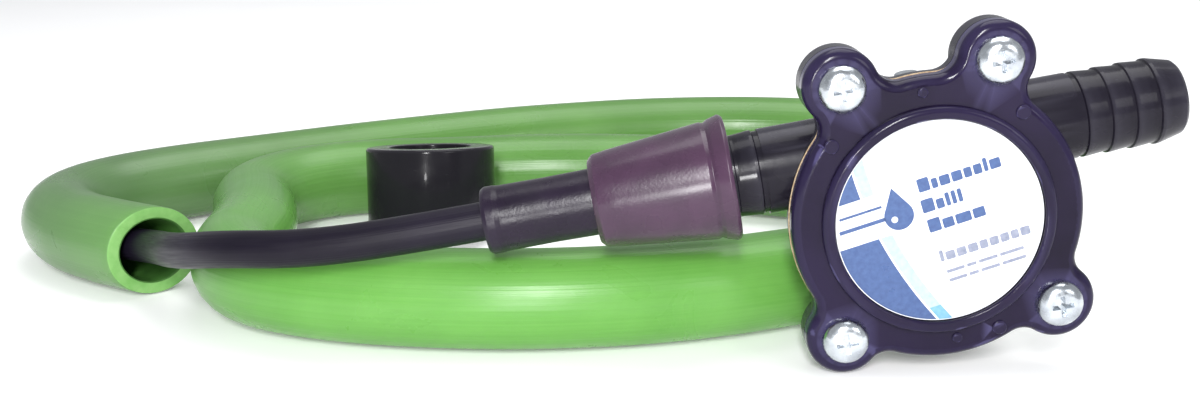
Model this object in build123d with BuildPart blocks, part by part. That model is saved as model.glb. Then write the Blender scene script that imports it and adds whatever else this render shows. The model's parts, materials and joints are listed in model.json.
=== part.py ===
"""Drill-driven fluid transfer pump with its hose, suction probe and a loose hose coupling.

The pump stands on its lowest cover lug, with its shaft level and pointing back (+Y), its cover facing
-Y and its ports along X, rolled a little about the shaft. The hose lies in a flat spiral behind it.
Millimetres, +Z up, floor at z = 0. The origin is under the middle of the pump and coupling.
"""

from build123d import *
import os
from math import cos, pi, radians, sin, tan

# ---- where the pump stands ----
PUMP_X = 45.3  # pump axis, left to right
PUMP_Y = -66.5  # parting plane between body and cover
ROLL = 9.6  # degrees, right-hand port raised

# ---- housing ----
FLANGE_R = 33.5
FLANGE_T = 3.0
CUP_R = 29.5
CUP_EDGE_R = 2.5
BODY_DEPTH = 18.0
BOSS_R = 10.5
BOSS_LENGTH = 8.0
BOSS_EDGE = 1.0
LUG_R = 8.8
LUG_DEPTH = 5.0
UPPER_LUGS = (38.5, 27.2)  # reach from the pump axis, and degrees each side of the vertical
LOWER_LUGS = (35.1, 45.4)
LUG_BLEND_R = 5.0  # the hollow round where a lug meets the rim
CAVITY_R = 23.0
CAVITY_DEPTH = 15.0
WEAR_PLATE_T = 0.6
BUSH_SEAT_R = 5.5
BUSH_SEAT_DEPTH = 6.5
SEAL_SEAT_R = 7.5
SEAL_SEAT_DEPTH = 4.0
SHAFT_HOLE_R = 3.6
SCREW_HOLE_FLOOR = 0.6  # left under the blind screw holes

# ---- cover ----
GASKET_T = 0.5
COVER_T = 5.0
COVER_EDGE_R = 2.3
BEZEL_OUTER_R = 26.8
BEZEL_INNER_R = 23.9
BEZEL_HEIGHT = 2.0
BEZEL_EDGE_R = 1.4
BEZEL_LIP_R = 0.6
RECESS_FLOOR = 0.4  # the label's seat, above the cover's face
PADS = ((-21.7, 21.6, 1.7), (21.6, 21.6, 1.7), (0, 30.1, 1.2), (0.8, -28.9, 1.2), (10.8, -28.2, 1.7))
PAD_T = 0.5
PAD_EDGE_R = 0.35
LABEL_R = 23.7
LABEL_T = 0.4

# ---- ports ----
PORT_OFFSET = 14.8  # port axis above the pump axis
PORT_DEPTH = 10.6  # port axis behind the parting plane
PORT_REACH = 61.5
PORT_BORE_RS = {1: 5.4, -1: 5.2}  # outlet on the right, suction on the left
THROAT_R = 3.8  # the narrow way from the cavity into each bore
THROAT_END = 22.0
PORT_START = 18.0
PORT_ROOT_R = 9.8
BARB_R = 10.2
COLLAR_R = 10.2
COLLAR_END = 36.5
FIRST_BARB = 1.2  # past the collar
BARB_PITCH = 5.6
BARB_COUNT = 4
BARB_RISE = 0.3
BARB_LAND = 0.7
BARB_GAP = 0.6
NOSE_R = 8.8
NOSE_EDGE = 0.7

# ---- screws ----
SCREW_R = 2.4
SCREW_HEAD_R = 5.5
SCREW_HEAD_T = 3.4
SCREW_DOME_R = 3.0
SCREW_LENGTH = 9.5
CROSS_LENGTH = 5.0
CROSS_WIDTH = 1.1
CROSS_DEPTH = 1.8
CAM_SCREW_R = 1.5
CAM_SCREW_HEAD_R = 2.8
CAM_SCREW_HEAD_T = 2.0
CAM_WASHER_R = 3.2
CAM_WASHER_T = 0.6

# ---- rotor ----
SHAFT_R = 3.175  # quarter-inch round shaft
SHAFT_FRONT = -0.8
SHAFT_END = -50.0
RUNNING = 0.05
INSERT_R = 6.0
HUB_R = 8.6
VANE_TIP_R = 19.6
VANE_T = 1.8
VANE_BEAD_R = 1.3
VANE_COUNT = 8
PIN_R = 1.0
CAM_INNER_R = 20.4
CAM_HALF_ANGLE = 22.0

# ---- adapter on the suction port ----
SLEEVE_START = 44.0
SLEEVE_END = 77.4
SLEEVE_LIP_R = 15.4
SLEEVE_BIG_R = 14.2
SLEEVE_SMALL_R = 11.1
REDUCER_START = 68.0
REDUCER_END = 103.8
REDUCER_R = 8.2
SOCKET_DEPTH = 8.0

# ---- hose and probe ----
HOSE_R = 12.7  # one-inch hose
HOSE_BORE_R = 9.0
HOSE_BIAS = 20.0  # degrees, the slant of the cut end
PROBE_R = 4.75
PROBE_BORE_R = 3.2

# ---- loose coupling ----
COUPLING_X = -86.0
COUPLING_Y = 50.3
COUPLING_LEAN = 8.9  # degrees, leaning back on the hose
COUPLING_R = 20.4
COUPLING_H = 26.4
COUPLING_BORE_R = 13.0
COUPLING_STOP_R = 10.5
COUPLING_STOP_T = 3.0

# The hose: one flat spiral, from its slanted end outwards round the pump and back inside itself.
HOSE_ROUTE = [
    (-154.5, -4), (-176, 9), (-193, 24), (-201, 43), (-195, 64), (-176, 81), (-147, 98.5),
    (-109, 120), (-71, 139), (-25, 153), (21, 155.5), (63, 144), (92, 117), (103, 79), (99, 39),
    (81, 4), (54, -20), (22, -34), (-11, -46.5), (-45, -50.5), (-75, -48), (-103, -41),
    (-125, -29.5), (-134, -10), (-134, 10), (-137.5, 32), (-144.5, 54), (-134, 74.5), (-112, 85),
    (-85, 85.5), (-56, 89), (-26, 87), (4, 79), (33, 68), (62, 55),
]
# The probe tube: out of the reducer, over the near strand, into the hose's end and along inside it.
PROBE_ENTRY = [
    (-51.6, -55.9, 36), (-81.4, -55.9, 30.9), (-105, -55, 28), (-125, -50, 27), (-143, -31, 21),
    (-156, -6, 15),
]
PROBE_LAST = 18  # the hose route point where the probe's far end lies

# The pump's own frame: x along the ports, y up through the port axis, z out of the cover.
AXIS_Z = LUG_R - LOWER_LUGS[0] * sin(radians(270 - LOWER_LUGS[1] + ROLL))
FACE = Plane(
    origin=(PUMP_X, PUMP_Y, AXIS_Z),
    x_dir=(cos(radians(ROLL)), 0, sin(radians(ROLL))),
    z_dir=(0, -1, 0),
)
LUG_SPOTS = [
    (side * reach * sin(radians(half)), up * reach * cos(radians(half)))
    for up, (reach, half) in ((1, UPPER_LUGS), (-1, LOWER_LUGS))
    for side in (1, -1)
]


def port_plane(side):
    """Sketch plane of one port: x outwards along the port, y away from the pump axis."""
    centre = FACE.from_local_coords((0, PORT_OFFSET, -PORT_DEPTH))
    return Plane(origin=centre, x_dir=FACE.x_dir * side, z_dir=FACE.z_dir * side)


def port_axis(side):
    plane = port_plane(side)
    return Axis(plane.origin, plane.x_dir)


def spoke_plane(height):
    """Sketch plane square to the line from the pump axis up through the cam, at a height above the axis."""
    return Plane(origin=FACE.from_local_coords((0, height, -PORT_DEPTH)), z_dir=FACE.y_dir)


def face_axis():
    return Axis(FACE.origin, FACE.z_dir)


def side_plane():
    """Half-section plane through the pump axis: x across, y along the axis, out of the cover."""
    return Plane(origin=FACE.origin, x_dir=FACE.x_dir, z_dir=-FACE.y_dir)


def save(part, name):
    part.label = name
    export_step(part, f"parts/{name}.step")


def notches(outline, rim_r, lug_r):
    """The corners of a lugged disc where its lugs meet its rim."""
    corners = []
    for v in outline.vertices():
        to_lug = min((Vector(*v) - Vector(*spot)).length for spot in LUG_SPOTS)
        if abs(to_lug - lug_r) < 0.01 and abs(Vector(*v).length - rim_r) < 0.01:
            corners.append(v)
    return corners


def ring(name, r_in, r_out, back, front):
    """A plain ring round the pump axis, from one depth to another."""
    with BuildPart() as made:
        with BuildSketch(FACE.offset(back)):
            Circle(r_out)
            Circle(r_in, mode=Mode.SUBTRACT)
        extrude(amount=front - back)
    save(made.part, name)
    return made.part


def corner_radii(points):
    """The largest arc each corner takes: 0.45 of its shorter run, over tan of half the turn."""
    spots = [Vector(*p) for p in points]
    runs = [b - a for a, b in zip(spots, spots[1:])]
    return [
        0.45 * min(a.length, b.length) / tan(radians(a.get_angle(b) / 2))
        for a, b in zip(runs, runs[1:])
    ]


def route_plane(points):
    """Section plane at the start of a route, facing along its first run."""
    first = Vector(*points[1]) - Vector(*points[0])
    return Plane(origin=points[0], x_dir=Vector(0, 0, 1).cross(first), z_dir=first)


def report_tube(tube, line, outer_r, inner_r):
    """Prints a tube's length, its volume over its section, and its tightest bend."""
    section = pi * (outer_r**2 - inner_r**2)
    bends = [e.radius for e in line.edges().filter_by(GeomType.CIRCLE)]
    length, by_volume = line.wire().length, tube.part.volume / section
    print(tube.part.label, "mm:", round(length), round(by_volume), "bends", [round(r) for r in bends])


# ---- pump body: flange, cup, lugs, two barbed ports and the bearing boss ----
with BuildPart() as pump_body:
    with BuildSketch(FACE.offset(-FLANGE_T)) as flange:
        Circle(FLANGE_R)
        with Locations(*LUG_SPOTS):
            Circle(LUG_R)
        fillet(notches(flange, FLANGE_R, LUG_R), radius=LUG_BLEND_R)
    extrude(amount=FLANGE_T)
    with BuildSketch(FACE.offset(-LUG_DEPTH)):
        with Locations(*LUG_SPOTS):
            Circle(LUG_R)
    extrude(amount=LUG_DEPTH)
    with BuildSketch(FACE.offset(-BODY_DEPTH)):
        Circle(CUP_R)
    extrude(amount=BODY_DEPTH)
    fillet(pump_body.edges().group_by(Axis.Y)[-1], radius=CUP_EDGE_R)
    with BuildSketch(FACE.offset(-BODY_DEPTH - BOSS_LENGTH)):
        Circle(BOSS_R)
    extrude(amount=BOSS_LENGTH + 1)
    chamfer(pump_body.edges().group_by(Axis.Y)[-1], length=BOSS_EDGE)
    for side in (1, -1):
        with BuildSketch(port_plane(side)):
            with BuildLine():
                barbs = [(PORT_START, 0), (PORT_START, COLLAR_R)]
                barbs += [(COLLAR_END, COLLAR_R), (COLLAR_END, PORT_ROOT_R)]
                for i in range(BARB_COUNT):
                    foot = COLLAR_END + FIRST_BARB + i * BARB_PITCH
                    land = foot + BARB_RISE
                    barbs += [(foot, PORT_ROOT_R), (land, BARB_R), (land + BARB_LAND, BARB_R)]
                    if i < BARB_COUNT - 1:
                        barbs += [(foot + BARB_PITCH - BARB_GAP, PORT_ROOT_R)]
                barbs += [(PORT_REACH - NOSE_EDGE, NOSE_R), (PORT_REACH, NOSE_R - NOSE_EDGE), (PORT_REACH, 0)]
                Polyline(*barbs, close=True)
            make_face()
        revolve(axis=port_axis(side))
    with BuildSketch(FACE.offset(-CAVITY_DEPTH)):
        Circle(CAVITY_R)
    extrude(amount=CAVITY_DEPTH, mode=Mode.SUBTRACT)
    for side in (1, -1):
        port = port_plane(side)
        for start, r in ((CAVITY_R / 2, THROAT_R), (THROAT_END, PORT_BORE_RS[side])):
            with BuildSketch(Plane(origin=port.from_local_coords((start, 0, 0)), z_dir=port.x_dir)):
                Circle(r)
            extrude(amount=PORT_REACH - start, mode=Mode.SUBTRACT)
    with BuildSketch(FACE.offset(-BODY_DEPTH - BOSS_LENGTH)):
        Circle(BUSH_SEAT_R)
    extrude(amount=BUSH_SEAT_DEPTH, mode=Mode.SUBTRACT)
    with BuildSketch(FACE.offset(-CAVITY_DEPTH - SEAL_SEAT_DEPTH)):
        Circle(SEAL_SEAT_R)
    extrude(amount=SEAL_SEAT_DEPTH, mode=Mode.SUBTRACT)
    with BuildSketch(FACE.offset(-BODY_DEPTH - BOSS_LENGTH)):
        Circle(SHAFT_HOLE_R)
    extrude(amount=BOSS_LENGTH + BODY_DEPTH, mode=Mode.SUBTRACT)
    with BuildSketch(FACE.offset(-LUG_DEPTH + SCREW_HOLE_FLOOR)):
        with Locations(*LUG_SPOTS):
            Circle(SCREW_R + 0.05)
    extrude(amount=LUG_DEPTH, mode=Mode.SUBTRACT)
    cam_hole = spoke_plane(CAM_INNER_R)
    with BuildSketch(cam_hole):
        Circle(CAM_SCREW_R + 0.05)
    extrude(amount=CUP_R, mode=Mode.SUBTRACT)
save(pump_body.part, "pump_body")

# ---- gasket between body and cover, standing a hair proud of both rims ----
with BuildPart() as cover_gasket:
    with BuildSketch(FACE) as gasket:
        Circle(FLANGE_R + 0.15)
        with Locations(*LUG_SPOTS):
            Circle(LUG_R - 0.4)
        fillet(notches(gasket, FLANGE_R + 0.15, LUG_R - 0.4), radius=LUG_BLEND_R)
        Circle(CAVITY_R + 0.5, mode=Mode.SUBTRACT)
        with Locations(*LUG_SPOTS):
            Circle(SCREW_R + 0.15, mode=Mode.SUBTRACT)
    extrude(amount=GASKET_T)
save(cover_gasket.part, "cover_gasket")

# ---- cover: lugged plate with moulding pads and a rounded bezel round the label recess ----
COVER_FACE = GASKET_T + COVER_T
with BuildPart() as front_cover:
    with BuildSketch(FACE.offset(GASKET_T)) as plate:
        Circle(FLANGE_R)
        with Locations(*LUG_SPOTS):
            Circle(LUG_R)
        fillet(notches(plate, FLANGE_R, LUG_R), radius=LUG_BLEND_R)
    extrude(amount=COVER_T)
    fillet(front_cover.faces().sort_by(Axis.Y)[0].outer_wire().edges(), radius=COVER_EDGE_R)
    for x, y, r in PADS:
        with BuildSketch(FACE.offset(COVER_FACE - PAD_T)):
            with Locations((x, y)):
                Circle(r)
        extrude(amount=2 * PAD_T)
    fillet(front_cover.edges().group_by(Axis.Y)[0], radius=PAD_EDGE_R)
    with BuildSketch(FACE.offset(COVER_FACE)):
        Circle(BEZEL_OUTER_R)
    extrude(amount=BEZEL_HEIGHT)
    fillet(front_cover.edges().group_by(Axis.Y)[0], radius=BEZEL_EDGE_R)
    with BuildSketch(FACE.offset(COVER_FACE + RECESS_FLOOR)):
        Circle(BEZEL_INNER_R)
    extrude(amount=BEZEL_HEIGHT, mode=Mode.SUBTRACT)
    top_edges = front_cover.edges().group_by(Axis.Y)[0]
    fillet(top_edges.sort_by(SortBy.RADIUS)[0], radius=BEZEL_LIP_R)
    with BuildSketch(FACE.offset(GASKET_T)):
        with Locations(*LUG_SPOTS):
            Circle(SCREW_R + 0.25)
    extrude(amount=COVER_T, mode=Mode.SUBTRACT)
save(front_cover.part, "front_cover")

# ---- label in the recess ----
with BuildPart() as label_disc:
    with BuildSketch(FACE.offset(COVER_FACE + RECESS_FLOOR)):
        Circle(LABEL_R)
    extrude(amount=LABEL_T)
save(label_disc.part, "label_disc")

# ---- four domed cover screws with cross recesses ----
with BuildPart() as cover_screws:
    with BuildSketch(FACE.offset(COVER_FACE)):
        with Locations(*LUG_SPOTS):
            Circle(SCREW_HEAD_R)
    extrude(amount=SCREW_HEAD_T)
    fillet(cover_screws.edges().group_by(Axis.Y)[0], radius=SCREW_DOME_R)
    with BuildSketch(FACE.offset(COVER_FACE)):
        with Locations(*LUG_SPOTS):
            Circle(SCREW_R)
    extrude(amount=-SCREW_LENGTH)
    with BuildSketch(FACE.offset(COVER_FACE + SCREW_HEAD_T)):
        with Locations(*LUG_SPOTS):
            Rectangle(CROSS_LENGTH, CROSS_WIDTH)
            Rectangle(CROSS_WIDTH, CROSS_LENGTH)
    extrude(amount=-CROSS_DEPTH, mode=Mode.SUBTRACT)
save(cover_screws.part, "cover_screws")

# ---- cam in the top of the cavity, with its screw and washer through the housing ----
with BuildPart() as cam_plate:
    with BuildSketch(FACE.offset(-CAVITY_DEPTH + WEAR_PLATE_T + 0.1)):
        Circle(CAVITY_R - 0.05)
        Circle(CAM_INNER_R, mode=Mode.SUBTRACT)
        with BuildLine():
            reach = 2 * CAVITY_R
            left = (-reach * sin(radians(CAM_HALF_ANGLE)), reach * cos(radians(CAM_HALF_ANGLE)))
            right = (-left[0], left[1])
            Polyline((0, 0), left, right, close=True)
        make_face(mode=Mode.INTERSECT)
    extrude(amount=CAVITY_DEPTH - WEAR_PLATE_T - 0.3)
    with BuildSketch(cam_hole):
        Circle(CAM_SCREW_R + 0.05)
    extrude(amount=CUP_R, mode=Mode.SUBTRACT)
save(cam_plate.part, "cam_plate")

CAM_WASHER_FOOT = CUP_R + 0.05
with BuildPart() as cam_washer:
    with BuildSketch(spoke_plane(CAM_WASHER_FOOT)):
        Circle(CAM_WASHER_R)
        Circle(CAM_SCREW_R + 0.2, mode=Mode.SUBTRACT)
    extrude(amount=CAM_WASHER_T)
save(cam_washer.part, "cam_washer")

CAM_SCREW_FOOT = CAM_INNER_R + 0.6
with BuildPart() as cam_screw:
    with BuildSketch(spoke_plane(CAM_WASHER_FOOT + CAM_WASHER_T)):
        Circle(CAM_SCREW_HEAD_R)
    extrude(amount=CAM_SCREW_HEAD_T)
    fillet(cam_screw.edges().filter_by(GeomType.CIRCLE).sort_by(Axis.Z)[-1], radius=0.6)
    with BuildSketch(spoke_plane(CAM_SCREW_FOOT)):
        Circle(CAM_SCREW_R)
    extrude(amount=CAM_WASHER_FOOT + CAM_WASHER_T - CAM_SCREW_FOOT)
save(cam_screw.part, "cam_screw")

# ---- plain rings round the shaft ----
CAVITY_FLOOR = -CAVITY_DEPTH
BOSS_END = -BODY_DEPTH - BOSS_LENGTH
ring("wear_plate", SHAFT_R + 1.2, CAVITY_R - 0.1, CAVITY_FLOOR, CAVITY_FLOOR + WEAR_PLATE_T)
ring("shaft_bushing", SHAFT_R + RUNNING, 5.45, BOSS_END, BOSS_END + 6.4)
ring("thrust_washer", SHAFT_R + 0.08, 6.4, BOSS_END - 0.8, BOSS_END - 0.1)
ring("retaining_ring", SHAFT_R - 0.4, 5.0, BOSS_END - 1.9, BOSS_END - 1.1)

# ---- lip seal behind the impeller, and the garter spring round its lip ----
with BuildPart() as shaft_seal:
    with BuildSketch(side_plane()):
        with BuildLine():
            Polyline(
                (SHAFT_R + RUNNING, -18.8), (7.4, -18.8), (7.4, -15.2), (6.3, -15.2), (6.3, -17.6),
                (4.3, -17.6), (4.3, -15.6), (SHAFT_R + RUNNING, -15.6), close=True,
            )
        make_face()
    revolve(axis=face_axis())
save(shaft_seal.part, "shaft_seal")

with BuildPart() as seal_spring:
    with BuildSketch(side_plane()):
        with Locations((4.75, -16.6)):
            Circle(0.4)
    revolve(axis=face_axis())
save(seal_spring.part, "seal_spring")

# ---- drive shaft, grooved for its retaining ring and drilled for the drive pin ----
PIN_DEPTH = -7.5
with BuildPart() as drive_shaft:
    with BuildSketch(FACE.offset(SHAFT_END)):
        Circle(SHAFT_R)
    extrude(amount=SHAFT_FRONT - SHAFT_END)
    chamfer(drive_shaft.edges().group_by(Axis.Y)[-1], length=0.6)
    with BuildSketch(FACE.offset(BOSS_END - 1.9)):
        Circle(SHAFT_R)
        Circle(SHAFT_R - 0.4, mode=Mode.SUBTRACT)
    extrude(amount=0.8, mode=Mode.SUBTRACT)
    pin_plane = Plane(origin=FACE.from_local_coords((-10, 0, PIN_DEPTH)), z_dir=FACE.x_dir)
    with BuildSketch(pin_plane):
        Circle(PIN_R)
    extrude(amount=20, mode=Mode.SUBTRACT)
save(drive_shaft.part, "drive_shaft")

with BuildPart() as drive_pin:
    with BuildSketch(Plane(origin=FACE.from_local_coords((-5.4, 0, PIN_DEPTH)), z_dir=FACE.x_dir)):
        Circle(PIN_R - 0.01)
    extrude(amount=10.8)
save(drive_pin.part, "drive_pin")

# ---- impeller: a brass insert moulded into a rubber hub with beaded vanes ----
IMPELLER_BACK = CAVITY_FLOOR + WEAR_PLATE_T + 0.25
IMPELLER_FRONT = -0.3
with BuildPart() as impeller_insert:
    with BuildSketch(FACE.offset(IMPELLER_BACK)):
        Circle(INSERT_R)
        Circle(SHAFT_R + 0.01, mode=Mode.SUBTRACT)
    extrude(amount=IMPELLER_FRONT - IMPELLER_BACK - 0.4)
    with BuildSketch(pin_plane):
        Circle(PIN_R)
    extrude(amount=20, mode=Mode.SUBTRACT)
save(impeller_insert.part, "impeller_insert")

with BuildPart() as impeller:
    with BuildSketch(FACE.offset(IMPELLER_BACK)):
        Circle(HUB_R)
        with PolarLocations((HUB_R + VANE_TIP_R) / 2 - 1, VANE_COUNT, start_angle=11.25):
            Rectangle(VANE_TIP_R - HUB_R, VANE_T)
        with PolarLocations(VANE_TIP_R - VANE_BEAD_R, VANE_COUNT, start_angle=11.25):
            Circle(VANE_BEAD_R)
        Circle(INSERT_R, mode=Mode.SUBTRACT)
    extrude(amount=IMPELLER_FRONT - IMPELLER_BACK)
save(impeller.part, "impeller")

# ---- rubber sleeve pushed over the suction port, and the reducer pushed into it ----
with BuildPart() as port_sleeve:
    with BuildSketch(port_plane(-1)):
        with BuildLine():
            Polyline(
                (SLEEVE_START, BARB_R + 0.05), (SLEEVE_START, SLEEVE_LIP_R - 0.6),
                (SLEEVE_START + 0.8, SLEEVE_LIP_R), (SLEEVE_START + 5.4, SLEEVE_LIP_R),
                (SLEEVE_START + 6.6, SLEEVE_BIG_R), (SLEEVE_END - 4.0, SLEEVE_SMALL_R + 0.3),
                (SLEEVE_END - 1.2, SLEEVE_SMALL_R - 0.4), (SLEEVE_END, SLEEVE_SMALL_R - 1.6),
                (SLEEVE_END, REDUCER_R + 0.03), (REDUCER_START - 0.5, REDUCER_R + 0.03),
                (REDUCER_START - 0.5, REDUCER_R - 0.5), (PORT_REACH + 0.5, NOSE_R),
                (PORT_REACH + 0.5, BARB_R + 0.05), close=True,
            )
        make_face()
    revolve(axis=port_axis(-1))
save(port_sleeve.part, "port_sleeve")

with BuildPart() as reducer:
    with BuildSketch(port_plane(-1)):
        with BuildLine():
            Polyline(
                (REDUCER_START, 3.4), (REDUCER_START, REDUCER_R - 0.5), (REDUCER_START + 0.5, REDUCER_R),
                (REDUCER_END - 0.5, REDUCER_R), (REDUCER_END, REDUCER_R - 0.5),
                (REDUCER_END, PROBE_R + 0.1), (REDUCER_END - SOCKET_DEPTH - 0.1, PROBE_R + 0.1),
                (REDUCER_END - SOCKET_DEPTH - 0.1, 3.4), close=True,
            )
        make_face()
    revolve(axis=port_axis(-1))
save(reducer.part, "reducer")

# ---- green hose: a hollow tube along its route, its near end cut on a slant ----
hose_points = [(x, y, HOSE_R) for x, y in HOSE_ROUTE]
hose_radii = corner_radii(hose_points)
with BuildPart() as hose:
    with BuildLine() as hose_line:
        FilletPolyline(*hose_points, radius=hose_radii)
    with BuildSketch(route_plane(hose_points)):
        Circle(HOSE_R)
        Circle(HOSE_BORE_R, mode=Mode.SUBTRACT)
    sweep()
    # the wedge in front of the slanted end, from its right-hand edge to the full bite on its left
    into = (Vector(*hose_points[1]) - Vector(*hose_points[0])).normalized()
    outward = -into.rotate(Axis.Z, -HOSE_BIAS)
    across = outward.rotate(Axis.Z, 90)
    centre = Vector(*hose_points[0][:2])
    centre += into * (HOSE_R * tan(radians(HOSE_BIAS)))
    half = HOSE_R / cos(radians(HOSE_BIAS))
    bite = 2 * HOSE_R * sin(radians(HOSE_BIAS)) + 3
    with BuildSketch(Plane.XY):
        with BuildLine():
            Polyline(
                centre + across * (half + 0.1), centre - across * (half + 0.5),
                centre - across * (half + 0.5) + outward * bite,
                centre + across * (half + 0.1) + outward * 1.0, close=True,
            )
        make_face()
    extrude(amount=2 * HOSE_R, mode=Mode.SUBTRACT)
save(hose.part, "hose")
report_tube(hose, hose_line, HOSE_R, HOSE_BORE_R)

# ---- black probe tube ----
probe_points = PROBE_ENTRY + hose_points[1 : PROBE_LAST + 1]
probe_radii = corner_radii(probe_points)
with BuildPart() as probe_tube:
    with BuildLine() as probe_line:
        FilletPolyline(*probe_points, radius=probe_radii)
    with BuildSketch(route_plane(probe_points)):
        Circle(PROBE_R)
        Circle(PROBE_BORE_R, mode=Mode.SUBTRACT)
    sweep()
save(probe_tube.part, "probe_tube")
report_tube(probe_tube, probe_line, PROBE_R, PROBE_BORE_R)

# ---- loose hose coupling, leaning back on the hose, and the washer in its lower socket ----
LEAN = radians(COUPLING_LEAN)
STAND = Plane(
    origin=(COUPLING_X, COUPLING_Y, COUPLING_R * sin(LEAN)), x_dir=(1, 0, 0), z_dir=(0, sin(LEAN), cos(LEAN))
)
with BuildPart() as coupling:
    with BuildSketch(STAND):
        Circle(COUPLING_R)
    extrude(amount=COUPLING_H)
    chamfer(coupling.edges(), length=0.8)
    with BuildSketch(STAND):
        Circle(COUPLING_STOP_R)
    extrude(amount=COUPLING_H, mode=Mode.SUBTRACT)
    socket = (COUPLING_H - COUPLING_STOP_T) / 2
    for start in (0, COUPLING_H - socket):
        with BuildSketch(STAND.offset(start)):
            Circle(COUPLING_BORE_R)
        extrude(amount=socket, mode=Mode.SUBTRACT)
save(coupling.part, "coupling")

with BuildPart() as coupling_washer:
    with BuildSketch(STAND.offset(socket - 2.1)):
        Circle(COUPLING_BORE_R - 0.1)
        Circle(COUPLING_STOP_R - 1.0, mode=Mode.SUBTRACT)
    extrude(amount=2.0)
save(coupling_washer.part, "coupling_washer")

solids = [pump_body, front_cover, cover_screws, port_sleeve, reducer, coupling, drive_shaft]
low = [min(getattr(s.part.bounding_box().min, k) for s in solids) for k in "XYZ"]
high = [max(getattr(s.part.bounding_box().max, k) for s in solids) for k in "XYZ"]
print("box without the cords", [round(v, 2) for v in low], [round(v, 2) for v in high])
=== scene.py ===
"""Looks for the drill-driven fluid transfer pump: materials, hose, probe tube, adapter and label print."""
import json
from math import asin, atan2, cos, pi, radians, sin, sqrt, tan

import bmesh
import bpy
from mathutils import Matrix, Vector, noise


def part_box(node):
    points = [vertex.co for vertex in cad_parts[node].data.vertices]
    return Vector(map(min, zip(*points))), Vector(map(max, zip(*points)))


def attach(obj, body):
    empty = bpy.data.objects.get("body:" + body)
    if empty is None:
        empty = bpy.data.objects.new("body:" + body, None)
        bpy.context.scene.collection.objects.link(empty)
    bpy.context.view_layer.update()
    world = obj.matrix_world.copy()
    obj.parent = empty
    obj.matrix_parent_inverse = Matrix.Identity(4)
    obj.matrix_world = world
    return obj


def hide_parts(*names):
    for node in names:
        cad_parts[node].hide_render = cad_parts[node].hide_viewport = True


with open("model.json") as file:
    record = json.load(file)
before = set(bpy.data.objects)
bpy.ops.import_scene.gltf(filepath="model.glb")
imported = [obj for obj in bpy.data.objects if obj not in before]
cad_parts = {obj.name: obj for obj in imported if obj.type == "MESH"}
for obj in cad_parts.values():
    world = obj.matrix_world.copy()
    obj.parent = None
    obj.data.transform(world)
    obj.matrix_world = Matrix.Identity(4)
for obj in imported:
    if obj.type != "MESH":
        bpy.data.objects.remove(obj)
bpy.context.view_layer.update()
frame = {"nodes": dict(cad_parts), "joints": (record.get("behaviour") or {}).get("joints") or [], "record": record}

MM = 0.001

# ---- sizes shared with the CAD model, in millimetres ----
HOSE_R = 12.7
HOSE_BORE_R = 9.0
HOSE_BIAS = 20.0  # degrees, the slant of the cut end
PROBE_R = 4.75
PROBE_BORE_R = 3.2
LABEL_FACE = 6.3  # the label's front, out from the parting plane
LABEL_R = 23.5
COUPLING_R = 20.4
COUPLING_H = 26.4
COUPLING_BORE_R = 13.0
COUPLING_STOP_R = 10.5
COUPLING_STOP_T = 3.0
SKIN_GAP = 0.05  # how far a skin stays inside the CAD part it stands for

# The hose's route over the floor, and the probe tube's route from the reducer into the hose.
HOSE_ROUTE = [
    (-154.5, -4), (-176, 9), (-193, 24), (-201, 43), (-195, 64), (-176, 81), (-147, 98.5),
    (-109, 120), (-71, 139), (-25, 153), (21, 155.5), (63, 144), (92, 117), (103, 79), (99, 39),
    (81, 4), (54, -20), (22, -34), (-11, -46.5), (-45, -50.5), (-75, -48), (-103, -41),
    (-125, -29.5), (-134, -10), (-134, 10), (-137.5, 32), (-144.5, 54), (-134, 74.5), (-112, 85),
    (-85, 85.5), (-56, 89), (-26, 87), (4, 79), (33, 68), (62, 55),
]
PROBE_ENTRY = [
    (-51.6, -55.9, 36), (-81.4, -55.9, 30.9), (-105, -55, 28), (-125, -50, 27), (-143, -31, 21),
    (-156, -6, 15),
]
PROBE_LAST = 18  # the last point of the hose's route that the probe tube follows

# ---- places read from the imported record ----
mounts = {m["name"]: m for m in frame["record"]["mounts"]}
joints = {j["name"]: j for j in frame["joints"]}
PUMP_CENTRE = Vector(joints["shaft_spin"]["pos_m"])
PORT_AXIS = Vector(mounts["outlet_barb"]["axis"]).normalized()
PORT_MOUTH = Vector(mounts["outlet_barb"]["pos_m"])
FACE_OUT = Vector((0, -1, 0))
FACE_UP = FACE_OUT.cross(PORT_AXIS)


def placed(origin, x_axis, y_axis, z_axis):
    """A matrix from millimetres in a local frame to metres in the row frame."""
    turned = Matrix((x_axis, y_axis, z_axis)).transposed().to_4x4()
    return Matrix.Translation(origin) @ turned @ Matrix.Scale(MM, 4)


# the pump's face: x along the ports, y up, z out of the cover
FACE = placed(PUMP_CENTRE, PORT_AXIS, FACE_UP, FACE_OUT)
# the suction port: z outwards along the port from the middle of the pump
port_reach = (PORT_MOUTH - PUMP_CENTRE).dot(PORT_AXIS)
port_middle = PORT_MOUTH - PORT_AXIS * port_reach
SUCTION = placed(port_middle, FACE_OUT, FACE_UP, -PORT_AXIS)


# ---------------------------------------------------------------- meshes

def finish_mesh(name, mesh, materials, body, sharp=35):
    """Makes an object of a mesh, smooth except at edges sharper than an angle, riding on a body."""
    bm = bmesh.new()
    bm.from_mesh(mesh)
    bmesh.ops.recalc_face_normals(bm, faces=bm.faces)
    bm.to_mesh(mesh)
    bm.free()
    mesh.shade_smooth()
    mesh.set_sharp_from_angle(angle=radians(sharp))
    for material in materials:
        mesh.materials.append(material)
    piece = bpy.data.objects.new(name, mesh)
    bpy.context.scene.collection.objects.link(piece)
    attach(piece, body)
    return piece


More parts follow.
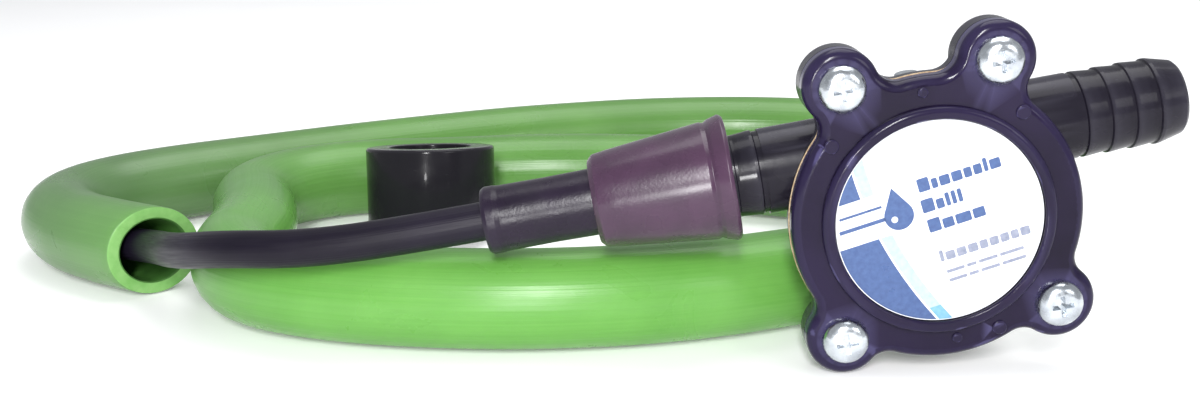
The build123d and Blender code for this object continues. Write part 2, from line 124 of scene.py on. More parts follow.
def grid_mesh(name, rings, lengths, matrix=Matrix.Identity(4)):
    """A skin of rings with equal counts, the last joined to the first, with a UV of angle and length."""
    count = len(rings[0])
    mesh = bpy.data.meshes.new(name)
    verts = [matrix @ Vector(v) for ring in rings for v in ring]
    faces, uvs = [], []
    for a in range(len(rings)):
        b = (a + 1) % len(rings)
        for k in range(count):
            n = (k + 1) % count
            faces.append((a * count + k, a * count + n, b * count + n, b * count + k))
            uvs.append(((k, lengths[a]), (k + 1, lengths[a]), (k + 1, lengths[b]), (k, lengths[b])))
    mesh.from_pydata(verts, [], faces)
    layer = mesh.uv_layers.new(name="along")
    for polygon, corners in zip(mesh.polygons, uvs):
        for loop, (k, length) in zip(polygon.loop_indices, corners):
            layer.data[loop].uv = (k / count, length)
    return mesh


def rounded(corners, steps=5):
    """A closed outline with each corner (x, y, radius) replaced by an arc."""
    out = []
    count = len(corners)
    for i, (x, y, r) in enumerate(corners):
        here = Vector((x, y))
        if r == 0:
            out.append(here)
            continue
        before = (Vector(corners[i - 1][:2]) - here).normalized()
        after = (Vector(corners[(i + 1) % count][:2]) - here).normalized()
        half = before.angle(after) / 2
        back = r / tan(half)
        centre = here + (before + after).normalized() * (r / sin(half))
        start, end = here + before * back - centre, here + after * back - centre
        turn = start.angle_signed(end)
        for k in range(steps + 1):
            out.append(centre + Matrix.Rotation(-turn * k / steps, 2) @ start)
    return out


def lathe(name, outline, matrix, material, body, segments=96, shape=None):
    """A solid of revolution of a closed outline of (radius, height) round the matrix's z axis.

    shape moves a point (radius, height, angle) a little, so that the piece isn't quite round.
    """
    rings, lengths, travelled = [], [], 0.0
    for i, (r, h) in enumerate(outline):
        if i:
            travelled += (Vector((r, h)) - Vector(outline[i - 1])).length * MM
        lengths.append(travelled)
        ring = []
        for k in range(segments):
            a = 2 * pi * k / segments
            out, up = shape(r, h, a) if shape else (r, h)
            ring.append((out * cos(a), out * sin(a), up))
        rings.append(ring)
    return finish_mesh(name, grid_mesh(name, rings, lengths, matrix), [material], body)


# ---------------------------------------------------------------- centrelines

def route_line(points):
    """Points read along the NURBS spline whose control points are the route's."""
    curve = bpy.data.curves.new("route", "CURVE")
    curve.dimensions = "3D"
    curve.resolution_u = 16
    spline = curve.splines.new("NURBS")
    spline.points.add(len(points) - 1)
    for point, place in zip(spline.points, points):
        point.co = (*[v * MM for v in place], 1)
    spline.order_u = 3
    spline.use_endpoint_u = True
    holder = bpy.data.objects.new("route", curve)
    mesh = bpy.data.meshes.new_from_object(holder)
    line = [v.co.copy() for v in mesh.vertices]
    bpy.data.objects.remove(holder)
    bpy.data.curves.remove(curve)
    bpy.data.meshes.remove(mesh)
    return line


class Centreline:
    """A line that gives its place and its section's two directions at any distance along it."""

    def __init__(self, points):
        self.points = points
        self.distances = [0.0]
        for a, b in zip(points, points[1:]):
            self.distances.append(self.distances[-1] + (b - a).length)
        self.length = self.distances[-1]
        last = len(points) - 1
        self.ahead = [
            (points[min(i + 1, last)] - points[max(i - 1, 0)]).normalized() for i in range(last + 1)
        ]
        up = Vector((0, 0, 1))
        self.across = []
        for ahead in self.ahead:
            side = up.cross(ahead).normalized()
            self.across.append(side)
            up = ahead.cross(side)

    def at(self, s):
        s = min(max(s, 0.0), self.length)
        low, high = 0, len(self.distances) - 1
        while high - low > 1:
            middle = (low + high) // 2
            if self.distances[middle] <= s:
                low = middle
            else:
                high = middle
        t = (s - self.distances[low]) / (self.distances[high] - self.distances[low])
        place = self.points[low].lerp(self.points[high], t)
        ahead = self.ahead[low].lerp(self.ahead[high], t).normalized()
        across = self.across[low].lerp(self.across[high], t).normalized()
        return place, across, ahead.cross(across)


TUBE_STEP = 4.0  # between two rings of a tube
TUBE_EDGE = 0.5  # the rounding of its cut ends
SLANT_BLEND = 40.0  # the stretch over which a slanted end turns back into square sections


def tube(name, line, outer, inner_r, materials, segments, lead=None):
    """A hollow tube along a centreline, its two cut ends with slightly rounded edges.

    outer gives the outer radius at (distance, angle) in millimetres. lead gives how far in, at a radius
    and an angle, the first cut lies. materials are for the outside, the cut ends and the bore.
    """
    edge = TUBE_EDGE
    total = line.length / MM
    count = int((total - 2 * edge) / TUBE_STEP)
    middles = [edge + (total - 2 * edge) * i / count for i in range(count + 1)]
    in_a_bit, bevel = 0.15 * edge, 0.3 * edge  # the middle point of each rounded edge
    # (distance, wall: 1 outside and 0 inside, inset from that wall)
    rows = [(0.0, 1, edge), (in_a_bit, 1, bevel)] + [(s, 1, 0) for s in middles]
    rows += [(total - in_a_bit, 1, bevel), (total, 1, edge), (total, 0, -edge)]
    rows += [(total - in_a_bit, 0, -bevel)] + [(s, 0, 0) for s in reversed(middles)]
    rows += [(in_a_bit, 0, -bevel), (0.0, 0, -edge)]
    rings, lengths = [], []
    for s, wall, inset in rows:
        ring = []
        for k in range(segments):
            a = 2 * pi * k / segments
            r = (outer(s, a) if wall else inner_r) - inset
            moved = s
            if lead and s < SLANT_BLEND:
                moved = s + lead(r, a) * (1 - s / SLANT_BLEND)
            place, across, up = line.at(moved * MM)
            ring.append(place + (across * cos(a) + up * sin(a)) * r * MM)
        rings.append(ring)
        lengths.append(s * MM + (0 if wall else 2 * line.length))
    mesh = grid_mesh(name, rings, lengths)
    first_inner = len(rows) - (len(middles) + 2)
    for polygon in mesh.polygons:
        row = polygon.index // segments
        at_end = row in (0, first_inner - 3, first_inner - 2, first_inner - 1) or row == len(rows) - 1
        if at_end and len(materials) > 1:
            polygon.material_index = 1
        elif row >= first_inner and len(materials) > 2:
            polygon.material_index = 2
    return finish_mesh(name, mesh, materials, "pump", sharp=50)


# ---------------------------------------------------------------- materials

class Surface:
    """A Principled material built from a few procedural nodes, in object coordinates."""

    def __init__(self, name, **settings):
        self.material = bpy.data.materials.new(name)
        self.material.use_nodes = True
        self.tree = self.material.node_tree
        self.shader = self.tree.nodes["Principled BSDF"]
        self.coordinates = self.tree.nodes.new("ShaderNodeTexCoord")
        for socket, value in settings.items():
            self.shader.inputs[socket.replace("_", " ")].default_value = value

    def link(self, source, target):
        self.tree.links.new(source, target)

    def noise(self, scale, detail=3.0, stretch=(1, 1, 1), uv=False, distortion=0.0):
        mapping = self.tree.nodes.new("ShaderNodeMapping")
        mapping.inputs["Scale"].default_value = stretch
        self.link(self.coordinates.outputs["UV" if uv else "Object"], mapping.inputs["Vector"])
        texture = self.tree.nodes.new("ShaderNodeTexNoise")
        texture.inputs["Scale"].default_value = scale
        texture.inputs["Detail"].default_value = detail
        texture.inputs["Distortion"].default_value = distortion
        self.link(mapping.outputs["Vector"], texture.inputs["Vector"])
        return texture.outputs["Fac"]

    def cells(self, scale):
        texture = self.tree.nodes.new("ShaderNodeTexVoronoi")
        texture.inputs["Scale"].default_value = scale
        self.link(self.coordinates.outputs["Object"], texture.inputs["Vector"])
        return texture.outputs["Distance"]

    def along(self, axis, start, end, to_start, to_end):
        """A value that changes from one place to another along an axis of the object."""
        split = self.tree.nodes.new("ShaderNodeSeparateXYZ")
        self.link(self.coordinates.outputs["Object"], split.inputs["Vector"])
        return self.remap(split.outputs[axis], start, end, to_start, to_end)

    def edges(self):
        """The mesh's convex edges, from 0 on a flat face to 1 on a sharp edge."""
        flat, sharp = 0.5, 0.58
        geometry = self.tree.nodes.new("ShaderNodeNewGeometry")
        return self.remap(geometry.outputs["Pointiness"], flat, sharp, 0.0, 1.0)

    def remap(self, value, low, high, to_low, to_high):
        node = self.tree.nodes.new("ShaderNodeMapRange")
        limits = {"From Min": low, "From Max": high, "To Min": to_low, "To Max": to_high}
        for socket, number in limits.items():
            node.inputs[socket].default_value = number
        self.link(value, node.inputs["Value"])
        return node.outputs["Result"]

    def ramp(self, value, *stops):
        """Colours blended from stop to stop, each stop a place and a colour."""
        node = self.tree.nodes.new("ShaderNodeValToRGB")
        elements = node.color_ramp.elements
        while len(elements) < len(stops):
            elements.new(0.5)
        for element, (place, colour) in zip(elements, stops):
            element.position = place
            element.color = (*colour, 1)
        self.link(value, node.inputs["Fac"])
        return node.outputs["Color"]

    def mix(self, value, first, second, how="MIX"):
        """Two colours mixed, each a socket or a plain colour."""
        node = self.tree.nodes.new("ShaderNodeMix")
        node.data_type = "RGBA"
        node.blend_type = how
        for socket, colour in ((node.inputs[6], first), (node.inputs[7], second)):
            if isinstance(colour, tuple):
                socket.default_value = (*colour, 1)
            else:
                self.link(colour, socket)
        if isinstance(value, float):
            node.inputs[0].default_value = value
        else:
            self.link(value, node.inputs[0])
        return node.outputs[2]

    def add(self, first, second, weight):
        """The first value plus the second times its weight."""
        node = self.tree.nodes.new("ShaderNodeMath")
        node.operation = "MULTIPLY_ADD"
        self.link(second, node.inputs[0])
        node.inputs[1].default_value = weight
        self.link(first, node.inputs[2])
        return node.outputs["Value"]

    def colour(self, socket):
        self.link(socket, self.shader.inputs["Base Color"])

    def roughness(self, value, low, high, to_low, to_high):
        """The roughness, from a value's own range to the range asked for."""
        self.link(self.remap(value, low, high, to_low, to_high), self.shader.inputs["Roughness"])

    def bump(self, height, distance):
        """Relief of a height, the distance in metres."""
        node = self.tree.nodes.new("ShaderNodeBump")
        node.inputs["Strength"].default_value = 1.0
        node.inputs["Distance"].default_value = distance
        self.link(height, node.inputs["Height"])
        self.link(node.outputs["Normal"], self.shader.inputs["Normal"])


def moulded_plastic(name, dark, light, worn, gloss, coat=0.12, grain=0.00003):
    """Moulded plastic: faint colour drift, an orange-peel skin, smears in the gloss and paler edges."""
    s = Surface(name, Coat_Weight=coat, Coat_Roughness=0.08, Specular_IOR_Level=0.12)
    drift = s.noise(38, 4)
    body = s.ramp(drift, (0.32, dark), (0.68, light))
    s.colour(s.mix(s.edges(), body, worn))
    smears = s.noise(60, 6, (1, 1, 2.2), distortion=0.6)
    s.roughness(smears, 0.35, 0.7, *gloss)
    peel = s.noise(420, 2)
    s.bump(s.add(peel, s.noise(2600, 2), 0.25), grain)
    return s.material


def body_plastic():
    return moulded_plastic(
        "body_black", (0.005, 0.0042, 0.0075), (0.01, 0.0085, 0.0145), (0.032, 0.03, 0.042), (0.2, 0.34)
    )


def cover_plastic():
    return moulded_plastic(
        "cover_black", (0.006, 0.0035, 0.013), (0.013, 0.008, 0.029), (0.05, 0.043, 0.105), (0.12, 0.24),
        coat=0.14, grain=0.00002,
    )


def coupling_plastic():
    return moulded_plastic(
        "coupling_black", (0.004, 0.0035, 0.005), (0.009, 0.008, 0.011), (0.03, 0.028, 0.035), (0.16, 0.28)
    )


def rubber(name, dark, light, worn, gloss, coat=0.0):
    """Moulded rubber: blotches of bloom, a fine matt grain on a faint ripple and paler edges."""
    s = Surface(name, Specular_IOR_Level=0.26, Sheen_Weight=0.03, Coat_Weight=coat, Coat_Roughness=0.2)
    blotches = s.noise(90, 5, distortion=0.4)
    body = s.ramp(blotches, (0.3, dark), (0.7, light))
    s.colour(s.mix(s.edges(), body, worn))
    s.roughness(s.noise(150, 5), 0.3, 0.72, *gloss)
    s.bump(s.add(s.noise(1500, 3), s.noise(230, 3), 1.6), 0.00004)
    return s.material


def sleeve_rubber():
    return rubber(
        "sleeve_rubber", (0.028, 0.012, 0.028), (0.05, 0.021, 0.048), (0.11, 0.055, 0.1), (0.22, 0.34),
        coat=0.35,
    )


def reducer_rubber():
    return rubber(
        "reducer_black", (0.006, 0.003, 0.01), (0.012, 0.006, 0.018), (0.05, 0.035, 0.07), (0.24, 0.36)
    )


def seal_rubber():
    return rubber(
        "seal_rubber", (0.008, 0.008, 0.008), (0.016, 0.016, 0.017), (0.04, 0.04, 0.04), (0.45, 0.65)
    )


def probe_plastic():
    """Extruded black tube: drawn lines along it and rubbed patches."""
    s = Surface("probe_black", Specular_IOR_Level=0.2, Coat_Weight=0.03, Coat_Roughness=0.2)
    clouds = s.noise(30, 5, distortion=0.5)
    s.colour(s.ramp(clouds, (0.3, (0.005, 0.0035, 0.009)), (0.7, (0.011, 0.008, 0.018))))
    s.roughness(s.noise(14, 5, (3, 6, 1), uv=True), 0.3, 0.7, 0.3, 0.48)
    s.bump(s.noise(26, 2, (3.0, 0.25, 1), uv=True), 0.00009)
    return s.material


def hose_vinyl():
    """Soft green vinyl: cloudy colour, extrusion lines along it and handling marks in the gloss.

    It is painted darker on the far side of the coil, as shade, and greyer round its left bend.
    """
    s = Surface(
        "hose_green", Specular_IOR_Level=0.35, Coat_Weight=0.06, Coat_Roughness=0.22,
        Subsurface_Weight=0.12, Subsurface_Scale=0.004,
    )
    s.shader.inputs["Subsurface Radius"].default_value = (0.5, 1.0, 0.3)
    clouds = s.noise(22, 5, distortion=0.5)
    cloudy = s.ramp(clouds, (0.3, (0.1, 0.29, 0.048)), (0.7, (0.145, 0.37, 0.075)))
    lines = s.noise(9, 3, (8.0, 0.35, 1), uv=True)
    streaks = s.ramp(lines, (0.35, (0.9, 0.94, 0.88)), (0.65, (1, 1, 1)))
    fresh = s.mix(1.0, cloudy, streaks, "MULTIPLY")
    # painted shade: the hose's colour darkens towards the back of the coil
    far_painted_shade = s.mix(s.along("Y", 0.03, 0.09, 0.0, 0.35), fresh, (0.07, 0.1, 0.04))
    s.colour(s.mix(s.along("X", -0.11, -0.19, 0.0, 0.55), far_painted_shade, (0.085, 0.1, 0.085)))
    s.roughness(s.noise(45, 6, distortion=0.8), 0.32, 0.7, 0.24, 0.38)
    s.bump(s.add(s.noise(30, 2, (3.2, 0.12, 1), uv=True), s.noise(900, 2), 0.18), 0.0001)
    return s.material


def hose_cut_face():
    """The sawn end of the hose: dull, with saw lines; paler partly from the sawn surface and partly as a painted
    glow of light coming through the wall.
    """
    s = Surface("hose_cut", Specular_IOR_Level=0.3)
    # paler than the hose: partly the sawn surface, partly a painted glow of light through the wall
    s.colour(s.ramp(s.noise(300, 4), (0.3, (0.15, 0.36, 0.09)), (0.7, (0.22, 0.44, 0.14))))
    s.roughness(s.noise(400, 3), 0.3, 0.7, 0.5, 0.7)
    s.bump(s.noise(700, 3, (1, 0.2, 1)), 0.00015)
    return s.material


def hose_bore():
    """The hose's inside: dull, and darker as painted shade in the bore."""
    s = Surface("hose_bore", Specular_IOR_Level=0.35)
    # painted shade: darker than the hose's outside
    s.colour(s.ramp(s.noise(120, 4), (0.3, (0.03, 0.1, 0.016)), (0.7, (0.055, 0.16, 0.03))))
    s.roughness(s.noise(200, 3), 0.3, 0.7, 0.45, 0.6)
    s.bump(s.noise(500, 3), 0.00006)
    return s.material


def metal(name, dark, light, gloss, stretch=(1, 1, 1), grain=0.00003, scale=700):
    """Plated or machined metal: clouding, fine tool marks and small pits."""
    s = Surface(name, Metallic=1.0)
    s.colour(s.ramp(s.noise(260, 5), (0.3, dark), (0.7, light)))
    s.roughness(s.noise(500, 5), 0.3, 0.7, *gloss)
    marks = s.noise(scale, 3, stretch)
    s.bump(s.add(marks, s.cells(900), 0.5), grain)
    return s.material


def zinc():
    return metal("zinc", (0.42, 0.45, 0.49), (0.72, 0.76, 0.8), (0.16, 0.32), grain=0.00005)


def steel():
    return metal("steel", (0.42, 0.42, 0.43), (0.6, 0.6, 0.62), (0.22, 0.36), (1, 6, 1), scale=500)


def brass():
    return metal("cam_brass", (0.6, 0.43, 0.16), (0.78, 0.6, 0.28), (0.24, 0.4))


def bronze():
    return metal("bushing_bronze", (0.45, 0.28, 0.12), (0.62, 0.42, 0.2), (0.35, 0.5))


def gasket_fibre():
    """Pressed fibre board: specks and a felted edge."""
    s = Surface("gasket_tan", Specular_IOR_Level=0.2)
    s.colour(s.ramp(s.noise(900, 6), (0.3, (0.4, 0.27, 0.15)), (0.7, (0.66, 0.52, 0.34))))
    s.roughness(s.noise(1200, 3), 0.3, 0.7, 0.75, 0.92)
    s.bump(s.noise(1800, 4), 0.0001)
    return s.material


def label_paper():
    """White printed vinyl: a faint cool cast, fine relief and a soft clear coat."""
    s = Surface("label_white", Specular_IOR_Level=0.5, Coat_Weight=0.3, Coat_Roughness=0.15)
    s.colour(s.ramp(s.noise(70, 5), (0.3, (0.72, 0.74, 0.79)), (0.7, (0.8, 0.81, 0.84))))
    s.roughness(s.noise(220, 4), 0.3, 0.7, 0.26, 0.4)
    s.bump(s.noise(380, 2), 0.00002)
    return s.material


def print_ink(name, dark, light):
    """Printed ink: slightly uneven cover, with a fine screen grain."""
    s = Surface(name, Specular_IOR_Level=0.5, Coat_Weight=0.3, Coat_Roughness=0.15)
    s.colour(s.ramp(s.noise(850, 4), (0.3, dark), (0.7, light)))
    s.roughness(s.noise(220, 4), 0.3, 0.7, 0.26, 0.42)
    s.bump(s.noise(1400, 2), 0.00001)
    return s.material


BODY_BLACK = body_plastic()
COVER_BLACK = cover_plastic()
COUPLING_BLACK = coupling_plastic()
SLEEVE = sleeve_rubber()
REDUCER = reducer_rubber()
SEAL = seal_rubber()
PROBE = probe_plastic()
HOSE = hose_vinyl()
HOSE_CUT = hose_cut_face()
HOSE_BORE = hose_bore()
ZINC = zinc()
STEEL = steel()
BRASS = brass()
BRONZE = bronze()
GASKET = gasket_fibre()
LABEL = label_paper()
INK_BLUE = print_ink("ink_blue", (0.033, 0.07, 0.2), (0.05, 0.1, 0.25))
INK_PALE = print_ink("ink_pale", (0.33, 0.43, 0.55), (0.42, 0.52, 0.62))
INK_SKY = print_ink("ink_sky", (0.12, 0.31, 0.5), (0.18, 0.39, 0.56))
INK_GREY = print_ink("ink_grey", (0.17, 0.19, 0.27), (0.26, 0.28, 0.36))
INK_WHITE = print_ink("ink_white", (0.7, 0.74, 0.78), (0.77, 0.8, 0.83))

NODE_MATERIALS = {
    "pump_body": BODY_BLACK, "front_cover": COVER_BLACK, "cover_gasket": GASKET, "label_disc": LABEL,
    "cover_screws": ZINC, "cam_screw": ZINC, "cam_washer": GASKET, "cam_plate": BRASS,
    "wear_plate": STEEL, "shaft_bushing": BRONZE, "thrust_washer": STEEL, "retaining_ring": STEEL,
    "shaft_seal": SEAL, "seal_spring": STEEL, "drive_shaft": STEEL, "drive_pin": STEEL,
    "impeller_insert": BRONZE, "impeller": SEAL, "coupling": COUPLING_BLACK, "coupling_washer": SEAL,
    "port_sleeve": SLEEVE, "reducer": REDUCER, "hose": HOSE, "probe_tube": PROBE,
}


def finish_cad_nodes():
    """The nodes' materials; the shapes stay those of the CAD model."""
    for name, material in NODE_MATERIALS.items():
        mesh = frame["nodes"][name].data
        mesh.materials.clear()
        mesh.materials.append(material)


# ---------------------------------------------------------------- hose and probe

def make_hose():
    """The hose, a hair thinner than the CAD tube and not quite even."""
    line = Centreline(route_line([(x, y, HOSE_R) for x, y in HOSE_ROUTE]))
    slope = tan(radians(HOSE_BIAS))
    thinner, unevenness = 0.12, 0.1

    def outer(s, a):
        drift = noise.noise(Vector((s * 0.03, cos(a) * 0.4, sin(a) * 0.4)))
        return HOSE_R - thinner + unevenness * drift

    def lead(r, a):
        return slope * (HOSE_R + r * cos(a))

    hose = tube("green_hose", line, outer, HOSE_BORE_R, [HOSE, HOSE_CUT, HOSE_BORE], 64, lead)
    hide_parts("hose")


def make_probe():
    """The probe tube, from the reducer into the hose and along inside it."""
    route = PROBE_ENTRY + [(x, y, HOSE_R) for x, y in HOSE_ROUTE[1:PROBE_LAST + 1]]
    line = Centreline(route_line(route))
    probe = tube("probe_lance", line, lambda s, a: PROBE_R - SKIN_GAP, PROBE_BORE_R, [PROBE], 32)
    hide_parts("probe_tube")


# ---------------------------------------------------------------- adapter on the suction port

def make_sleeve():
    """Rubber sleeve: a soft cone with a flared, slightly wavy mouth at the pump and a rolled shoulder."""
    mouth_h, mouth_depth = 44.1, 5.5
    bore_r, bore_end = 10.5, 70.0  # inside these the sleeve grips the port and stays true
    wall_r = 12.0  # outside this the mouth's rim waves
    outline = rounded([
        (10.3, 44.3, 0.2), (14.8, mouth_h, 0.5), (15.3, 45.0, 0.4), (14.5, 47.6, 1.2), (13.85, 48.6, 0.35),
        (14.15, 49.6, 0.5), (11.7, 72.4, 1.6), (11.2, 76.0, 1.1), (9.9, 77.3, 0.6), (8.3, 77.3, 0.3),
        (8.3, 67.6, 0), (8.7, 62.1, 0), (10.3, 62.1, 0),
    ])

    def shape(r, h, a):
        if r < bore_r and h < bore_end:
            return r, h
        mouth = max(0.0, 1 - (h - mouth_h) / mouth_depth)
        r += mouth * (0.08 * sin(2 * a + 0.6) + 0.05 * sin(5 * a) - 0.05)
        r += 0.05 * noise.noise(Vector((cos(a), sin(a), h * 0.12)))
        if r > wall_r:
            h += mouth * 0.15 * sin(3 * a + 1.0)
        return r, h

    sleeve = lathe("rubber_sleeve", outline, SUCTION, SLEEVE, "pump", segments=128, shape=shape)
    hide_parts("port_sleeve")


def make_reducer():
    """Rubber reducer: a plain neck with a soft lip where the probe tube goes in."""
    outline = rounded([
        (3.5, 68.1, 0), (7.9, 68.1, 0.3), (8.15, 70.0, 0.5), (7.9, 88.0, 3.0), (8.0, 99.5, 2.0),
        (8.2, 100.8, 0.6), (8.2, 102.8, 0.6), (7.6, 103.75, 0.4), (4.85, 103.7, 0.25), (4.85, 95.8, 0),
        (3.5, 95.8, 0),
    ])
    bore_r = 6.0  # inside this it stays true

    def shape(r, h, a):
        if r < bore_r:
            return r, h
        return r + 0.04 * noise.noise(Vector((cos(a), sin(a), h * 0.15))), h

    reducer = lathe("rubber_reducer", outline, SUCTION, REDUCER, "pump", shape=shape)
    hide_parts("reducer")


# ---------------------------------------------------------------- label print

LABEL_TILT = 18.0  # degrees, the print's slope over the floor
LABEL_FRAME = FACE @ Matrix.Rotation(radians(LABEL_TILT) - asin(PORT_AXIS.z), 4, "Z")
PRINT_LAYER = 0.02  # the thickness of one layer of print
WEDGE_TOP = (-15.9, 17.2)  # the blue corner's slanted edge, in the label's own frame
WEDGE_FOOT = (-6.9, -22.4)
WEDGE_BOW = 2.2  # how far that edge bows to the left
BAND = (0.6, 10.9)  # the white band's lower and upper edge
BAND_END = -10.0  # the band's right-hand end
STRIPE = (0.5, 3.2)  # the pale stripe's near and far side, to the right of the blue corner's edge
TIP_TOP = -19.3  # below this the stripe is sky blue
BAND_RULES = ((7.7, 0.6), (4.6, 0.9))  # the two rules' middle and height
RULE_MARGINS = (0.6, 1.6)  # from the label's rim and from the band's end
RULE_CORNER = 0.2
DROP_CENTRE = (-8.4, 4.4)
DROP_R = 3.4
GLEAM_CENTRE = (-9.6, 3.8)
GLEAM_R = 0.75
BLOCK_GAP = 0.45
BLOCK_CORNER = 0.35
LOW_BLOCK = 0.74  # a low block's height over a tall one's
NARROW_BLOCK = 1.0  # a block narrower than this is a tall one
FINE_LINES = (-12.1, -14.3)  # the two broken lines' middles
FINE_HEIGHT = 0.75
FINE_DASHES = ((-1.6, 2.6), (3.2, 5.4), (6.0, 10.4), (11.0, 16.6))


def arc(start, end, r=LABEL_R, steps=40):
    turns = [start + (end - start) * k / steps for k in range(steps + 1)]
    return [(r * cos(a), r * sin(a)) for a in turns]


def shifted(outline, offset):
    return [(x + offset[0], y + offset[1]) for x, y in outline]


def rounded_bar(left, right, middle, height, r):
    low, high = middle - height / 2, middle + height / 2
    r = min(r, (right - left) / 2 - 0.01, height / 2 - 0.01)
    return rounded([(left, low, r), (right, low, r), (right, high, r), (left, high, r)], steps=3)


def patch(name, outline, ink, layer):
    """A printed patch; each layer lies a little higher than the one under it."""
    back, front = LABEL_FACE - PRINT_LAYER, LABEL_FACE + PRINT_LAYER * layer
    mesh = bpy.data.meshes.new(name)
    n = len(outline)
    verts = [LABEL_FRAME @ Vector((x, y, z)) for z in (back, front) for x, y in outline]
    faces = [tuple(range(n)), tuple(range(2 * n - 1, n - 1, -1))]
    faces += [(k, (k + 1) % n, n + (k + 1) % n, n + k) for k in range(n)]
    mesh.from_pydata(verts, [], faces)
    finish_mesh(name, mesh, [ink], "pump")


def rim_x(y):
    """How far the label's rim lies from its middle line, at a height."""
    return sqrt(LABEL_R**2 - y**2)


def rim_angle(x, y):
    return atan2(y, x) % (2 * pi)


def wedge_x(y, beside):
    """The blue corner's bowed edge at a height, moved to the right by an offset."""
    t = (WEDGE_TOP[1] - y) / (WEDGE_TOP[1] - WEDGE_FOOT[1])
    straight = WEDGE_TOP[0] + (WEDGE_FOOT[0] - WEDGE_TOP[0]) * t
    return straight - 4 * WEDGE_BOW * t * (1 - t) + beside


def meets_rim(beside, sign):
    """The angle at which that edge meets the label's rim: sign 1 at the top and -1 at the foot."""
    y = sign * LABEL_R
    for _ in range(40):
        y = sign * sqrt(LABEL_R**2 - wedge_x(y, beside) ** 2)
    return rim_angle(wedge_x(y, beside), y)


def wedge_edge(beside, steps=16):
    """The edge from the rim's top to its foot, without those two ends."""
    top, foot = (LABEL_R * sin(meets_rim(beside, sign)) for sign in (1, -1))
    ys = [top + (foot - top) * k / steps for k in range(1, steps)]
    return [(wedge_x(y, beside), y) for y in ys]


def make_label_ornament():
    """The blue corner, the pale stripe beside it, the white band with its rules, and a plain drop."""
    corner = arc(meets_rim(0, 1), meets_rim(0, -1)) + wedge_edge(0)[::-1]
    patch("label_corner", corner, INK_BLUE, 1)
    near, far = STRIPE
    foot = arc(meets_rim(near, -1), meets_rim(far, -1), steps=4)
    head = arc(meets_rim(far, 1), meets_rim(near, 1), steps=4)
    patch("label_stripe", foot + wedge_edge(far)[::-1] + head + wedge_edge(near), INK_PALE, 1)
    tip = foot + [(wedge_x(TIP_TOP, far), TIP_TOP), (wedge_x(TIP_TOP, near), TIP_TOP)]
    patch("label_tip", tip, INK_SKY, 2)

    low, high = BAND
    rim = arc(rim_angle(-rim_x(high), high), rim_angle(-rim_x(low), low), steps=12)
    patch("label_band", rim + [(BAND_END, low), (BAND_END, high)], INK_WHITE, 3)
    for i, (middle, height) in enumerate(BAND_RULES):
        start, end = RULE_MARGINS[0] - rim_x(middle), BAND_END - RULE_MARGINS[1]
        rule = rounded_bar(start, end, middle, height, RULE_CORNER)
        patch(f"label_rule_{i + 1}", rule, INK_BLUE, 4)

    drop = arc(radians(150), radians(390), DROP_R, 30) + [(0, 2 * DROP_R)]
    patch("label_drop", shifted(drop, DROP_CENTRE), INK_BLUE, 4)
    gleam = arc(0, 2 * pi, GLEAM_R, 16)[:-1]
    patch("label_drop_gleam", shifted(gleam, GLEAM_CENTRE), INK_WHITE, 5)


def make_text_rows():
    """Rows of plain blocks in place of words, a block for each letter; no letter shapes are drawn."""
    # middle, height, ink, where the row starts, the blocks' widths
    rows = [
        (9.6, 3.2, INK_BLUE, -2.6, (2.7, 1.4, 2.4, 2.4, 1.8, 1.9, 0.95, 2.5)),
        (4.6, 3.2, INK_BLUE, -3.0, (2.9, 1.8, 0.98, 0.98, 0.98)),
        (-0.3, 3.2, INK_BLUE, -2.8, (2.9, 2.6, 3.6, 2.8)),
        (-8.0, 2.8, INK_GREY, -2.2, (0.9, 2.2, 2.2, 2.3, 1.9, 2.1, 2.0, 1.8, 2.2)),
    ]
    for row, (middle, height, ink, x, widths) in enumerate(rows):
        for k, width in enumerate(widths):
            tall = height if k == 0 or width < NARROW_BLOCK else height * LOW_BLOCK
            block = rounded_bar(x, x + width, middle - height / 2 + tall / 2, tall, BLOCK_CORNER)
            patch(f"label_row{row + 1}_{k + 1}", block, ink, 2)
            x += width + BLOCK_GAP
    for row, middle in enumerate(FINE_LINES):
        for k, (left, right) in enumerate(FINE_DASHES):
            dash = rounded_bar(left, right, middle, FINE_HEIGHT, RULE_CORNER)
            patch(f"label_line{row + 1}_{k + 1}", dash, INK_GREY, 2)


# ---------------------------------------------------------------- loose coupling

def make_coupling():
    """Black collar: a plain drum with rounded rims and a stop inside."""
    up = Vector(mounts["coupling_socket"]["axis"]).normalized()
    x_axis = Vector((1, 0, 0))
    low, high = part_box("coupling")
    middle = (low + high) / 2
    base = placed(middle - up * COUPLING_H * MM / 2, x_axis, up.cross(x_axis), up)
    stop_low = (COUPLING_H - COUPLING_STOP_T) / 2
    stop_high = stop_low + COUPLING_STOP_T
    side_r = COUPLING_R - SKIN_GAP
    outline = rounded([
        (COUPLING_BORE_R, 0.0, 0.5), (side_r, 0.0, 1.0), (side_r, COUPLING_H, 1.0),
        (COUPLING_BORE_R, COUPLING_H, 0.5), (COUPLING_BORE_R, stop_high, 0.3),
        (COUPLING_STOP_R, stop_high, 0.4), (COUPLING_STOP_R, stop_low, 0.4), (COUPLING_BORE_R, stop_low, 0.3),
    ])
    coupling = lathe("loose_collar", outline, base, COUPLING_BLACK, "loose_coupling", segments=128)
    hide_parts("coupling")


# ---------------------------------------------------------------- stage

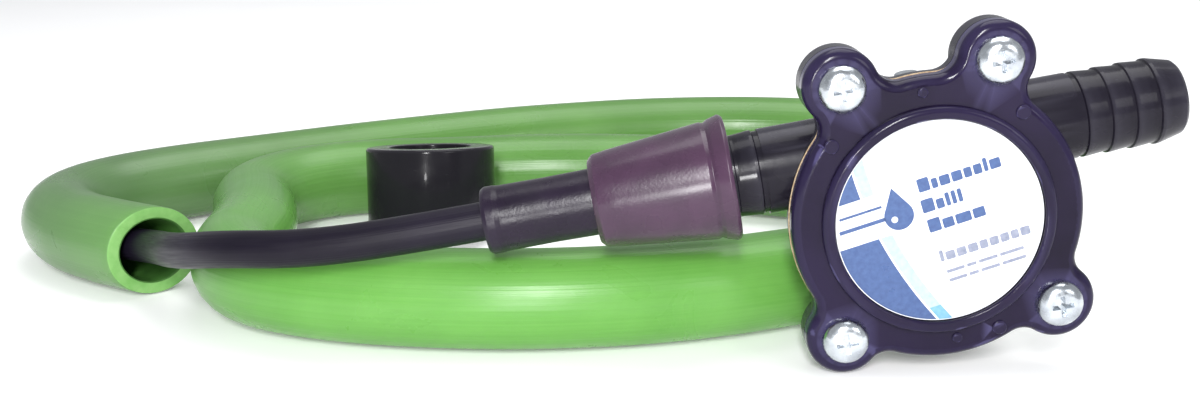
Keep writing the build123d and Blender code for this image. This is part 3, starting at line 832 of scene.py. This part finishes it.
def make_floor():
    """A plain white floor, lit a little from within so that it shows as pure white."""
    mesh = bpy.data.meshes.new("floor")
    half = 6.0
    corners = [(-half, -half, 0), (half, -half, 0), (half, half, 0), (-half, half, 0)]
    mesh.from_pydata(corners, [], [(0, 1, 2, 3)])
    s = Surface("floor_white", Specular_IOR_Level=0.15, Emission_Color=(1, 1, 1, 1), Emission_Strength=0.16)
    s.colour(s.ramp(s.noise(3, 3), (0.3, (0.9, 0.9, 0.905)), (0.7, (0.93, 0.93, 0.93))))
    s.roughness(s.noise(12, 3), 0.3, 0.7, 0.7, 0.85)
    mesh.materials.append(s.material)
    floor = bpy.data.objects.new("floor", mesh)
    floor.location.z = -0.2 * MM
    bpy.context.scene.collection.objects.link(floor)


def area_light(name, place, target, width, height, watts):
    light = bpy.data.lights.new(name, "AREA")
    light.shape = "RECTANGLE"
    light.size = width
    light.size_y = height
    light.energy = watts
    lamp = bpy.data.objects.new(name, light)
    lamp.location = place
    lamp.rotation_euler = (Vector(target) - Vector(place)).to_track_quat("-Z", "Y").to_euler()
    bpy.context.scene.collection.objects.link(lamp)


def make_lights():
    """A tall key, a low flash beside it, a broad top light, a weak fill on the right and a pale room."""
    area_light("key", (-0.09, -0.88, 0.52), (0, 0, 0.03), 0.12, 0.36, 8.6)
    area_light("flash", (-0.13, -0.95, 0.1), (-0.04, 0, 0.03), 0.05, 0.15, 2.4)
    area_light("top", (0.15, 0.25, 1.1), (0.05, 0.05, 0), 0.9, 0.9, 8.0)
    area_light("right_fill", (0.7, -0.8, 0.5), (0.05, 0, 0.03), 0.4, 0.4, 2.0)
    world = bpy.data.worlds.new("soft_room")
    world.use_nodes = True
    background = world.node_tree.nodes["Background"]
    background.inputs["Color"].default_value = (0.95, 0.97, 1.0, 1)
    background.inputs["Strength"].default_value = 0.5
    bpy.context.scene.world = world
    bpy.context.scene.view_settings.view_transform = "Standard"


def make_camera():
    """A view from close to the floor, tipped down and turned by a degree."""
    pitch, turn = radians(15), radians(1)
    data = bpy.data.cameras.new("camera")
    data.sensor_width = 36.0
    data.lens = 40.5
    data.clip_start = 0.01
    data.clip_end = 50
    camera = bpy.data.objects.new("camera", data)
    camera.location = (-0.032, -0.3685, 0.121)
    tipped = Matrix.Rotation(pi / 2 - pitch, 3, "X")
    camera.rotation_euler = (tipped @ Matrix.Rotation(-turn, 3, "Z")).to_euler()
    bpy.context.scene.collection.objects.link(camera)
    bpy.context.scene.camera = camera


make_camera()
make_lights()
make_floor()
finish_cad_nodes()
make_hose()
make_probe()
make_sleeve()
make_reducer()
make_label_ornament()
make_text_rows()
make_coupling()
